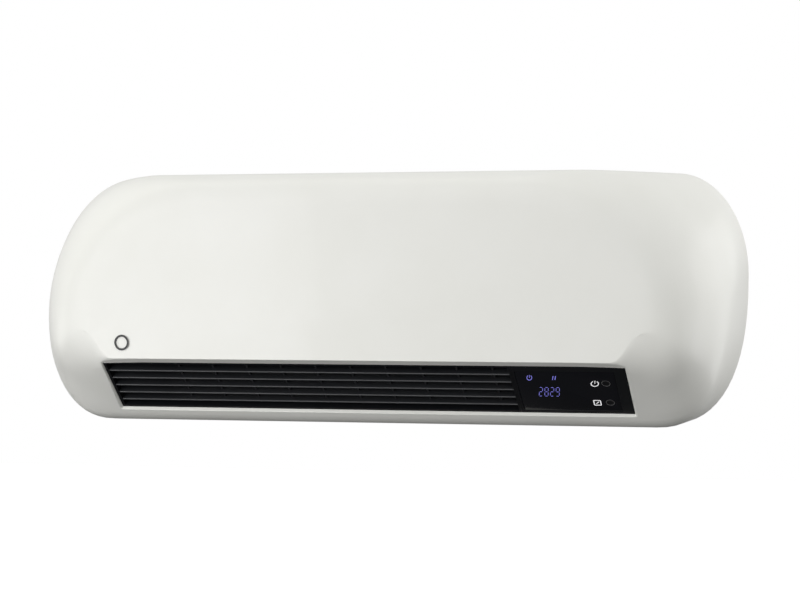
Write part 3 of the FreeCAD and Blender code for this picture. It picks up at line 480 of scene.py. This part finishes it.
def skin_depths():
    """Depths of the rings: crowded at the front edge and wherever an opening's edge has to fall on one."""
    panel = [-PANEL_TOP * SIN, -PANEL_LOW * SIN]
    mouth = -MOUTH_LOW * SIN
    depths = [0.0, 0.002, 0.01, 0.03, 0.08, 0.16, 0.28, 0.45]
    depths += between(0.7, panel[0] - 0.4, 8) + [panel[0] - 0.15]
    depths += between(panel[0], 10.0, 8) + between(11.5, 44.0, 22) + [45.0]
    depths += [DEPTH + INTAKE_Y[0]] + between(panel[1], mouth, 5) + [mouth + 0.3, mouth + 0.9]
    depths += between(mouth + 1.6, 67.0, 14) + between(70.0, 88.0, 6)
    centre = DEPTH + INLET_Y
    depths += [centre - INLET_SQUARE] + between(centre - INLET_R, centre + INLET_R, 6)
    depths += [DEPTH + INTAKE_Y[1], centre + INLET_SQUARE, 112.0, 115.5, DEPTH]
    return sorted(set(round(q, 4) for q in depths))


def rounded_gap(x, v, half, top, low, top_radius, low_radius):
    """How far inside a rounded rectangle of the outlet frame a point is; negative outside."""
    radius = top_radius if v > (top + low) / 2 else low_radius
    across = abs(x) - (half - radius)
    along = max(v - (top - radius), (low + radius) - v)
    outside = math.hypot(max(across, 0.0), max(along, 0.0))
    return radius - outside - min(max(across, along), 0.0)


def recessed(x, y, z):
    """Sinks a point of the outlet slope into the flared mouth of the panel's recess."""
    v, n = off_slope(y, z)
    beyond = math.hypot(max(abs(x) - PANEL_X, 0.0), max(v - PANEL_TOP, PANEL_LOW - v, 0.0))
    inside = rounded_gap(x, v, MOUTH_X, MOUTH_TOP, MOUTH_LOW, MOUTH_R_TOP, MOUTH_R_LOW)
    if inside <= 0.0:
        return (x, y, z)
    softness = 1.0 + 0.5 * smoothstep(-v, 5.0, 12.0)
    sunk = -RECESS * (inside / (inside + beyond)) ** softness
    return on_slope(x, v, min(n, sunk))


def rounded_inlet(x, y, z):
    """Draws the grid round the mains inlet from square to round."""
    across, along = x - INLET_X, y - INLET_Y
    square = max(abs(across), abs(along))
    if square < 0.01 or square > INLET_SQUARE - 0.01:
        return (x, y, z)
    away = math.hypot(across, along)
    share = min(max((square - INLET_R) / (INLET_SQUARE - INLET_R), 0.0), 1.0)
    wanted = min(square, INLET_R) + (away - INLET_R) * share
    return (INLET_X + across * wanted / away, INLET_Y + along * wanted / away, z)


def skin_points(depths, inset):
    """One skin of the casing: rings of points, right half and its mirror."""
    rings = []
    for q in depths:
        own = q * (DEPTH - inset) / DEPTH
        y = -DEPTH + inset + own
        bow = CROWN * (1 - smoothstep(own, 0.0, CROWN_DEEP))
        right = [(x, y + bow * smoothstep(x, *CROWN_X), z) for x, z in half_ring(own, inset)]
        left = [(-x, y, z) for x, y, z in right[-2:0:-1]]
        rings.append(right + left)
    return rings


SOOTHE_ROUNDS = 16
SOOTHE_X = (204.0, 214.0)
SOOTHE_Z = (-30.0, 10.0)
SOOTHE_DEEP = (20.0, 46.0)


def soothed(rings, depths):
    """Evens out the lower corners of the ends, where the front, the outlet plane and the end meet."""
    around = len(rings[0])
    moving = []
    for i in range(1, len(rings) - 1):
        for j in range(around):
            x, _, z = rings[i][j]
            weight = smoothstep(abs(x), *SOOTHE_X) * (1 - smoothstep(z, *SOOTHE_Z))
            weight *= 1 - smoothstep(depths[i], *SOOTHE_DEEP)
            if weight > 0.0:
                moving.append((i, j, weight))
    for _ in range(SOOTHE_ROUNDS):
        placed = []
        for i, j, weight in moving:
            beside = (rings[i - 1][j], rings[i + 1][j], rings[i][j - 1], rings[i][(j + 1) % around])
            middle = [sum(p[axis] for p in beside) / 4 for axis in range(3)]
            old = rings[i][j]
            placed.append(tuple(old[axis] + weight * (middle[axis] - old[axis]) for axis in range(3)))
        for (i, j, weight), point in zip(moving, placed):
            rings[i][j] = point


def casing_shell():
    """The white front casing: outer and inner skins with the outlet mouth, intake and mains inlet open."""
    depths = skin_depths()
    outer = skin_points(depths, 0.0)
    inner = skin_points(depths, WALL)
    soothed(outer, depths)
    soothed(inner, depths)
    around = len(outer[0])
    bottom = len(BOTTOM_COLUMNS)
    for i, q in enumerate(depths):
        for j in range(around):
            side = min(j, around - j)
            if side >= bottom:
                continue
            if q < -MOUTH_LOW * SIN + 1.0:
                outer[i][j] = recessed(*outer[i][j])
            if j < bottom:
                x, y, z = outer[i][j]
                outer[i][j] = rounded_inlet(x, y, z)
                x, y, z = inner[i][j]
                inner[i][j] = rounded_inlet(x, -DEPTH + q, z) if q > 80.0 else (x, y, z)

    def open_cell(i, j):
        """True where the casing is open between rings i, i + 1 and columns j, j + 1."""
        q = (depths[i] + depths[i + 1]) / 2
        ring = half_middle[j]
        x, low_side, top_side = ring
        if low_side and x < PANEL_X and -PANEL_TOP * SIN < q < -PANEL_LOW * SIN:
            return True
        if top_side and x < INTAKE_X and INTAKE_Y[0] < q - DEPTH < INTAKE_Y[1]:
            return True
        near = max(abs(x - INLET_X), abs(q - DEPTH - INLET_Y))
        return low_side and j < bottom and near < INLET_R

    flat_ring = half_ring(DEPTH * 0.6, 0.0)
    reach = len(flat_ring) - 1
    half_middle = []
    for j in range(around):
        a, b = min(j, around - j), min(j + 1, around - j - 1) if j + 1 < around else 0
        x = (flat_ring[a][0] + flat_ring[b][0]) / 2
        half_middle.append((x, max(a, b) < bottom, min(a, b) >= reach - TOP_STEPS))
    points = [p for ring in outer for p in ring] + [p for ring in inner for p in ring]
    under = len(depths) * around
    faces = [tuple(range(around)), tuple(range(under, under + around))]
    for i in range(len(depths) - 1):
        for j in range(around):
            if open_cell(i, j):
                continue
            k = (j + 1) % around
            cell = (i * around + j, i * around + k, (i + 1) * around + k, (i + 1) * around + j)
            faces.append(cell)
            faces.append(tuple(under + p for p in cell))
            beside = [(i - 1, j, 0, 1), (i, k, 1, 2), (i + 1, j, 2, 3), (i, (j - 1) % around, 3, 0)]
            for row, column, a, b in beside:
                if 0 <= row < len(depths) - 1 and open_cell(row, column):
                    faces.append((cell[a], cell[b], under + cell[b], under + cell[a]))
    last = (len(depths) - 1) * around
    for j in range(around):
        k = (j + 1) % around
        faces.append((last + j, last + k, under + last + k, under + last + j))
    shell = new_piece("casing_shell", points, faces, shell_white, slot="shell_white", sharp=38.0)
    drop_loose(shell)
    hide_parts("front_shell")


def drop_loose(piece):
    """Removes points that no face uses."""
    tidy = bmesh.new()
    tidy.from_mesh(piece.data)
    loose = [v for v in tidy.verts if not v.link_faces]
    bmesh.ops.delete(tidy, geom=loose, context="VERTS")
    tidy.to_mesh(piece.data)
    tidy.free()


MARK = (-182.0, -33.0)
MARK_R = 5.9
MARK_WIDE = 1.5
MARK_STEPS = 64
MARK_PROUD = 0.06          # how far the printed ring stands out of the shell, and how deep it starts
MARK_SUNK = 0.05


def printed_ring():
    """A plain dark ring printed on the front, above the left end of the outlet."""
    points = []
    steps = MARK_STEPS
    for angle in between(0.0, 2 * math.pi, steps)[:-1]:
        for radius in (MARK_R - MARK_WIDE, MARK_R):
            x, z = MARK[0] + radius * math.cos(angle), MARK[1] + radius * math.sin(angle)
            front = -DEPTH + CROWN * smoothstep(abs(x), *CROWN_X)
            points += [(x, front - MARK_PROUD, z), (x, front + MARK_SUNK, z)]
    faces = []
    for i in range(steps):
        a, b = 4 * i, 4 * ((i + 1) % steps)
        faces += [(a, b, b + 2, a + 2), (a + 1, a + 3, b + 3, b + 1)]
        faces += [(a, a + 1, b + 1, b), (a + 2, b + 2, b + 3, a + 3)]
    new_piece("printed_ring", points, faces, print_dark, slot="shell_white", sharp=30.0)


# ---------------------------------------------------------------- outlet grille
GRILLE_LEFT = -197.7
GRILLE_RIGHT = 113.9
SLATS = 5
SLAT_HALF = 0.62
SLAT_BACK = -10.5
SLAT_FRONT = -2.5
SLAT_TAPER = 0.72          # thickness at the back, as a share of the front's
BACK_FLAT = 0.6
BACK_BEVEL = 0.2
NOSE_STEPS = 10
RIB_FIRST = -142.0
RIB_PITCH = 27.0
RIB_HALF = 0.6
RIB_FRONT = -6.5
RIB_BEVEL = 0.5
RIB_SHORT = 2.5            # a rib stops this far inside the panel's edges


def slat_section(v):
    """A slat's section: a round nose at the front, tapering a little to the back."""
    centre = SLAT_FRONT - SLAT_HALF
    turn = between(0.0, math.pi, NOSE_STEPS)
    nose = [(v + SLAT_HALF * math.cos(a), centre + SLAT_HALF * math.sin(a)) for a in turn]
    back = SLAT_HALF * SLAT_TAPER
    flat = back * BACK_FLAT
    start = SLAT_BACK + BACK_BEVEL
    return nose + [(v - back, start), (v - flat, SLAT_BACK), (v + flat, SLAT_BACK), (v + back, start)]


def outlet_louvre():
    """Five long slats with upright ribs behind their noses."""
    levels = [SLAT_FIRST - SLAT_PITCH * i for i in range(SLATS)]
    solids = [prism(slat_section(v), GRILLE_LEFT, GRILLE_RIGHT) for v in levels]
    low, high = PANEL_LOW + RIB_SHORT, PANEL_TOP - RIB_SHORT
    front, cut = RIB_FRONT, RIB_BEVEL
    section = [(low, SLAT_BACK), (high, SLAT_BACK), (high, front - cut), (high - cut, front)]
    section += [(low + cut, front), (low, front - cut)]
    x = RIB_FIRST
    while x < GRILLE_RIGHT:
        solids.append(prism(section, x - RIB_HALF, x + RIB_HALF))
        x += RIB_PITCH
    louvre = new_piece("louvre_slats", *joined(solids), slat_black, slot="slat_black", sharp=45.0)
    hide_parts("outlet_louvre")


# ---------------------------------------------------------------- display
LENS = (118.1, 191.3, -58.8, -13.2)
LENS_FACE = -2.4
LENS_BACK = -4.4
KEY_X = 183.6
KEY_V = (-26.4, -48.5)
KEY_R = 3.55
KEY_FACE = -2.5
KEY_PLAY = 0.15            # room round a key in its hole
RING_BEVEL = 0.04
STEM_R = 1.4               # a key's stem, and the flange that holds the key behind the lens
STEM_END = -7.1
FLANGE_LOW = -5.5
FLANGE_TOP = -4.6


def circle(x, v, radius, n, steps=48):
    turn = between(0, 2 * math.pi, steps)[:-1]
    return [on_slope(x + radius * math.cos(a), v + radius * math.sin(a), n) for a in turn]


def lathe(x, v, profile, steps=48):
    """A turned shape about the outlet's normal: rings of (radius, n), closed by a cap at each end."""
    points = [p for radius, n in profile for p in circle(x, v, radius, n, steps)]
    faces = [tuple(range(steps))]
    for i in range(len(profile) - 1):
        for j in range(steps):
            k = (j + 1) % steps
            faces.append((i * steps + j, i * steps + k, (i + 1) * steps + k, (i + 1) * steps + j))
    last = (len(profile) - 1) * steps
    faces.append(tuple(range(last, last + steps)))
    return points, faces


def tube_ring(x, v, inner, outer, n0, n1, steps=48):
    """A flat ring standing on the outlet's normal."""
    cut = RING_BEVEL
    profile = [(inner, n0), (inner, n1 - cut), (inner + cut, n1)]
    profile += [(outer - cut, n1), (outer, n1 - cut), (outer, n0)]
    points = [p for radius, n in profile for p in circle(x, v, radius, n, steps)]
    count = len(profile)
    faces = []
    for i in range(count):
        for j in range(steps):
            k = (j + 1) % steps
            m = (i + 1) % count
            faces.append((i * steps + j, i * steps + k, m * steps + k, m * steps + j))
    return points, faces


def rounded_loop(x0, x1, v0, v1, radius, n, steps=6):
    """The corners of a rounded rectangle, as points."""
    corners = [(x1 - radius, v1 - radius, 0), (x0 + radius, v1 - radius, 1)]
    corners += [(x0 + radius, v0 + radius, 2), (x1 - radius, v0 + radius, 3)]
    loop = []
    for cx, cv, quarter in corners:
        for a in between(quarter * math.pi / 2, (quarter + 1) * math.pi / 2, steps):
            loop.append(on_slope(cx + radius * math.cos(a), cv + radius * math.sin(a), n))
    return loop


def display_lens():
    """The smoked window, with a rounded rim and a hole for each key."""
    x0, x1, v0, v1 = LENS
    levels = [(0.0, LENS_BACK, 0.8), (0.0, LENS_FACE - 0.45, 0.8)]
    levels += [(0.13, LENS_FACE - 0.13, 0.9), (0.45, LENS_FACE, 1.0)]
    points = []
    for inset, n, radius in levels:
        points += rounded_loop(x0 + inset, x1 - inset, v0 + inset, v1 - inset, radius, n)
    around = len(points) // len(levels)
    faces = [tuple(range(around))]
    for i in range(len(levels) - 1):
        for j in range(around):
            k = (j + 1) % around
            faces.append((i * around + j, i * around + k, (i + 1) * around + k, (i + 1) * around + j))
    faces.append(tuple(range((len(levels) - 1) * around, len(levels) * around)))
    lens = new_piece("lens_window", points, faces, lens_smoke, slot="lens_smoke", sharp=30.0)
    for i, v in enumerate(KEY_V):
        hole = KEY_R + KEY_PLAY
        cut_points, cut_faces = lathe(KEY_X, v, [(hole, LENS_BACK - 1.0), (hole, LENS_FACE + 1.0)])
        cutter = new_piece("key_cut_%d" % i, cut_points, cut_faces, lens_smoke)
        cut = lens.modifiers.new("key_%d" % i, "BOOLEAN")
        cut.operation = "DIFFERENCE"
        cut.object = cutter
        cut.solver = "EXACT"
        bpy.context.view_layer.update()
        baked = bpy.data.meshes.new_from_object(lens.evaluated_get(bpy.context.evaluated_depsgraph_get()))
        lens.modifiers.clear()
        lens.data = baked
        bpy.data.objects.remove(cutter)
    lens.data.set_sharp_from_angle(angle=math.radians(30))
    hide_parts("display_lens")


def keys():
    """Two round keys with a dished top and a raised ring."""
    for name, v in zip(("power", "timer"), KEY_V):
        top = KEY_FACE
        profile = [(STEM_R, STEM_END), (STEM_R, FLANGE_LOW), (KEY_R + 1.0, FLANGE_LOW)]
        profile += [(KEY_R + 1.0, FLANGE_TOP), (KEY_R, FLANGE_TOP), (KEY_R, top - 0.3)]
        profile += [(KEY_R - 0.09, top - 0.09), (KEY_R - 0.3, top), (KEY_R - 0.6, top - 0.05)]
        profile += [(KEY_R - 1.3, top - 0.22), (KEY_R - 2.2, top - 0.34), (KEY_R - 3.0, top - 0.38)]
        turned = lathe(KEY_X, v, profile)
        cap = new_piece(name + "_key_cap", *turned, key_black, name + "_key", "button_black")
        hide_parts(name + "_button")
        ring = tube_ring(KEY_X, v, KEY_R - 0.72, KEY_R - 0.28, top - 0.3, top + 0.02)
        new_piece(name + "_key_ring", *ring, key_ring, name + "_key", "button_black")


SIGN_LEAN = 0.18           # signs and digits lean by this much of their height
PRINT_FACE = LENS_FACE + 0.06
PRINT_BACK = LENS_FACE - 0.05


def bar(x0, v0, x1, v1, width):
    """A thin printed stroke from one point of the lens to another, with cut corners."""
    along = Vector((x1 - x0, v1 - v0))
    unit = along.normalized()
    side = Vector((-unit.y, unit.x)) * width / 2
    tip = unit * width * 0.35
    a, b = Vector((x0, v0)), Vector((x1, v1))
    outline = [a + side * 0.5, a + tip + side, b - tip + side, b + side * 0.5]
    outline += [b - side * 0.5, b - tip - side, a + tip - side, a - side * 0.5]
    points = [on_slope(p.x, p.y, n) for n in (PRINT_BACK, PRINT_FACE) for p in outline]
    count = len(outline)
    faces = [(i, (i + 1) % count, count + (i + 1) % count, count + i) for i in range(count)]
    return points, faces + [tuple(range(count)), tuple(range(count, 2 * count))]


def arc_stroke(x, v, radius, start, end, width, steps=14, tall=1.0):
    """A thin printed arc, its angles in degrees, drawn out up the slope by tall."""
    points = []
    for degrees in between(start, end, steps):
        a = math.radians(degrees)
        for r in (radius - width / 2, radius + width / 2):
            for n in (PRINT_BACK, PRINT_FACE):
                rise = tall * r * math.sin(a)
                points.append(on_slope(x + r * math.cos(a) + SIGN_LEAN * rise, v + rise, n))
    faces = [(0, 1, 3, 2), tuple(4 * steps + i for i in (0, 2, 3, 1))]
    for i in range(steps):
        a, b = 4 * i, 4 * (i + 1)
        faces += [(a, b, b + 1, a + 1), (a + 2, a + 3, b + 3, b + 2)]
        faces += [(a, a + 2, b + 2, b), (a + 1, b + 1, b + 3, a + 3)]
    return points, faces


def power_sign(x, v, radius, width, tall):
    """The usual on and off sign: an open ring and an upright stroke."""
    ring = arc_stroke(x, v, radius, *POWER_GAP, width, 24, tall)
    rise = radius * tall * 1.15
    return [ring, bar(x, v, x + SIGN_LEAN * rise, v + rise, width * 0.8)]


SEGMENTS = {
    "a": (0.0, 1.0, 1.0, 1.0), "b": (1.0, 1.0, 1.0, 0.5), "c": (1.0, 0.5, 1.0, 0.0),
    "d": (0.0, 0.0, 1.0, 0.0), "e": (0.0, 0.5, 0.0, 0.0), "f": (0.0, 1.0, 0.0, 0.5),
    "g": (0.0, 0.5, 1.0, 0.5),
}
DIGITS = {"2": "abged", "8": "abcdefg", "9": "abcdfg"}
DIGIT_X = 132.0
DIGIT_V = -41.6
DIGIT_PITCH = 4.15
DIGIT_SIZE = (2.5, 10.0)
UPRIGHT_WIDE = 0.36
LEVEL_WIDE = 0.52
POWER_GAP = (122, 418)     # the power sign's ring runs between these angles
KEY_SIGN = (171.6, 176.6, -51.4, -46.0)


def seven_segment(digit, x, v, wide, tall):
    """A leaning digit of the usual seven strokes; the upright ones are thinner."""
    strokes = []
    for name in DIGITS[digit]:
        x0, v0, x1, v1 = SEGMENTS[name]
        start = Vector((x + wide * x0 + SIGN_LEAN * tall * v0, v + tall * v0))
        run = Vector((wide * (x1 - x0) + SIGN_LEAN * tall * (v1 - v0), tall * (v1 - v0)))
        a, b = start + run * 0.16, start + run * 0.84
        strokes.append(bar(a.x, a.y, b.x, b.y, UPRIGHT_WIDE if v0 != v1 else LEVEL_WIDE))
    return strokes


def display_signs():
    """Lit signs and digits, and white printed signs beside the keys with a painted glow, on the window's
    face.
    """
    lit = power_sign(128.3, -20.5, 1.85, 0.45, 1.5)
    for shift in (-1.0, 0.8):
        lit.append(bar(146.0 + shift, -22.8, 147.2 + shift, -18.4, 0.6))
    for i, digit in enumerate("2829"):
        lit += seven_segment(digit, DIGIT_X + i * DIGIT_PITCH, DIGIT_V, *DIGIT_SIZE)
    new_piece("lit_signs", *joined(lit), display_blue, slot="lens_smoke", sharp=20.0)
    white = power_sign(175.5, -26.6, 2.7, 0.64, 1.1)
    left, right, low, high = KEY_SIGN
    corners = [(left, low), (right, low), (right, high), (left, high)]
    for (x0, v0), (x1, v1) in zip(corners, corners[1:] + corners[:1]):
        white.append(bar(x0, v0, x1, v1, 0.72))
    white.append(bar(left + 1.5, low + 1.6, right - 1.2, high - 1.4, 0.62))
    new_piece("key_signs", *joined(white), glowing_white_print, slot="lens_smoke", sharp=20.0)


# ---------------------------------------------------------------- studio
# name, place and size in metres, power in watts
LIGHTS = (
    ("left", (-0.75, -1.2, -0.1), (0.7, 0.9), 6.2),
    ("front", (-0.3, -3.0, 0.3), (2.2, 1.8), 11.5),
    ("right", (2.3, 0.2, 0.2), (1.2, 1.8), 4.0),
    ("right_back", (1.7, 1.0, 0.1), (1.6, 1.8), 12.5),
    ("low_left", (-2.3, -0.7, -0.5), (1.4, 1.2), 6.0),
    ("low_right", (1.9, -0.6, -0.8), (1.4, 1.2), 1.2),
)
SKY_SPAN = 0.35            # the surroundings brighten over this much of the view's height, both ways
SKY_LOW = 0.10
SKY_HIGH = 0.85
FLOOR_SIDE = 30.0
FLOOR_LEVEL = -2.6


def area_light(name, place, target, size, power):
    data = bpy.data.lights.new(name, "AREA")
    data.shape = "RECTANGLE"
    data.size, data.size_y = size
    data.energy = power
    data.color = (1.0, 1.0, 1.0)
    light = bpy.data.objects.new(name, data)
    light.location = place
    light.rotation_euler = (Vector(target) - Vector(place)).to_track_quat("-Z", "Y").to_euler()
    bpy.context.scene.collection.objects.link(light)
    return light


def studio():
    """White surroundings, brighter above than below, a pale floor far below, and soft lights."""
    world = bpy.data.worlds.new("studio")
    bpy.context.scene.world = world
    world.use_nodes = True
    tree = world.node_tree
    background = next(n for n in tree.nodes if n.type == "BACKGROUND")
    background.inputs["Color"].default_value = (1.0, 1.0, 1.0, 1.0)
    background.inputs["Strength"].default_value = 1.0
    soft = tree.nodes.new("ShaderNodeBackground")
    soft.inputs["Color"].default_value = (1.0, 1.0, 0.985, 1.0)
    direction = tree.nodes.new("ShaderNodeTexCoord")
    height = tree.nodes.new("ShaderNodeSeparateXYZ")
    tree.links.new(direction.outputs["Generated"], height.inputs[0])
    sky = tree.nodes.new("ShaderNodeMapRange")
    sky.inputs["From Min"].default_value = -SKY_SPAN
    sky.inputs["From Max"].default_value = SKY_SPAN
    sky.inputs["To Min"].default_value = SKY_LOW
    sky.inputs["To Max"].default_value = SKY_HIGH
    tree.links.new(height.outputs["Z"], sky.inputs["Value"])
    tree.links.new(sky.outputs["Result"], soft.inputs["Strength"])
    seen = tree.nodes.new("ShaderNodeLightPath")
    mix = tree.nodes.new("ShaderNodeMixShader")
    output = next(n for n in tree.nodes if n.type == "OUTPUT_WORLD")
    tree.links.new(seen.outputs["Is Camera Ray"], mix.inputs[0])
    tree.links.new(soft.outputs[0], mix.inputs[1])
    tree.links.new(background.outputs[0], mix.inputs[2])
    tree.links.new(mix.outputs[0], output.inputs["Surface"])
    floor_mesh = bpy.data.meshes.new("floor")
    side, level = FLOOR_SIDE, FLOOR_LEVEL
    corners = [(-side, -side, level), (side, -side, level), (side, side, level), (-side, side, level)]
    floor_mesh.from_pydata(corners, [], [(0, 1, 2, 3)])
    material, tree, shader = node_material("floor_pale")
    shader.inputs["Base Color"].default_value = (0.8, 0.8, 0.8, 1.0)
    shader.inputs["Emission Color"].default_value = (1.0, 1.0, 1.0, 1.0)
    shader.inputs["Emission Strength"].default_value = 1.0
    floor_mesh.materials.append(material)
    floor = bpy.data.objects.new("floor", floor_mesh)
    bpy.context.scene.collection.objects.link(floor)
    floor.visible_diffuse = False
    floor.visible_glossy = False
    floor.visible_transmission = False
    floor.visible_shadow = False
    for name, place, size, power in LIGHTS:
        area_light(name, place, (0, 0, 0), size, power)


CAMERA_PLACE = (0.525675, -1.815625, 0.013)
CAMERA_TARGET = (0.01926, -0.060, -0.00104)
FOCAL_LENGTH = 109.52
SENSOR_WIDTH = 36.0


def camera():
    data = bpy.data.cameras.new("camera")
    data.lens = FOCAL_LENGTH
    data.sensor_width = SENSOR_WIDTH
    eye = bpy.data.objects.new("camera", data)
    eye.location = CAMERA_PLACE
    target = Vector(CAMERA_TARGET)
    eye.rotation_euler = (target - eye.location).to_track_quat("-Z", "Y").to_euler()
    bpy.context.scene.collection.objects.link(eye)
    bpy.context.scene.camera = eye
    bpy.context.scene.view_settings.view_transform = "Standard"


paint_cad_nodes()
soften(("outlet_frame", "display_bezel"), 0.25)
soften(("intake_grille",), 0.3)
soften(("rear_cover",), 0.3)
casing_shell()
printed_ring()
outlet_louvre()
display_lens()
keys()
display_signs()
studio()
camera()
